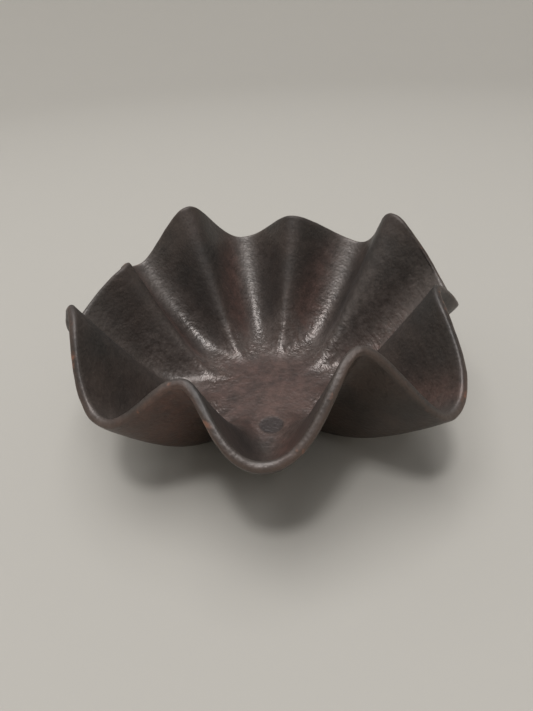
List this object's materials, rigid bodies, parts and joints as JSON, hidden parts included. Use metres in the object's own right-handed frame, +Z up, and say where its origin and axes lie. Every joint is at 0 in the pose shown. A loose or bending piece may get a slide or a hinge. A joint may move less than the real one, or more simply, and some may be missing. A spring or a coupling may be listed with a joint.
{
  "type": "fluted bowl",
  "caption": "Open hammered copper bowl with a wavy fluted rim, deep lobes between pressed-in folds and a flat floor that it rests on.",
  "frame": {"origin": "centre of the flat face that the bowl rests on", "axes": "+Z up out of the bowl, -Y towards the widest lobe, X across the bowl"},
  "size_m": [0.243, 0.2608, 0.1004],
  "materials": {
    "patinated_copper": "hand-hammered copper with a dark brown patina, satin sheen, rubbed lighter at the rim"
  },
  "bodies": {
    "root": {"bowl_shell": "patinated_copper"}
  },
  "joints": []
}
